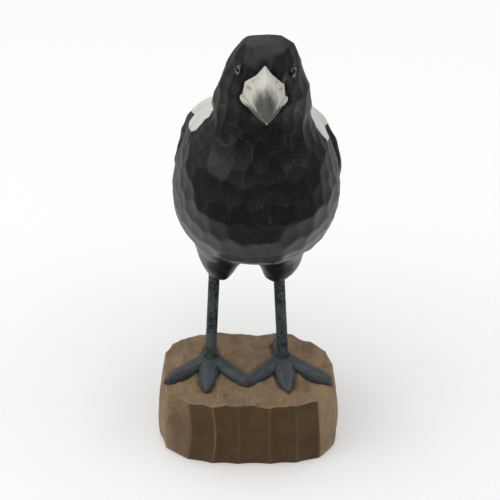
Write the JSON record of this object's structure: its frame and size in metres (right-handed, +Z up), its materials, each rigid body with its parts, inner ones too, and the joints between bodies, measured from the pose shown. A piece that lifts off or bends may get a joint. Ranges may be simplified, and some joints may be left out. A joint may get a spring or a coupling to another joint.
{
  "type": "carved magpie figure",
  "caption": "Carved wooden magpie in black and white paint, standing on thin wound legs with its feet cut in relief out of a gouged wooden block, with glass bead eyes.",
  "frame": {"origin": "middle of the block's flat underside", "axes": "+Z up, the bill points to -Y and the tail to +Y, +X is the bird's left"},
  "size_m": [0.0752, 0.1915, 0.1778],
  "materials": {
    "black_paint": "satin black paint over knife cuts, with white patches and a pale blue-grey bill",
    "base_wood": "bare oiled wood with a dark front, its relief feet painted dark blue-grey",
    "leg_paint": "dark blue-grey paint over a fine winding",
    "eye_glass": "polished dark bead"
  },
  "bodies": {
    "root": {"base": "base_wood", "bird": "black_paint", "right_leg": "leg_paint", "left_leg": "leg_paint", "right_eye": "eye_glass", "left_eye": "eye_glass"}
  },
  "joints": []
}
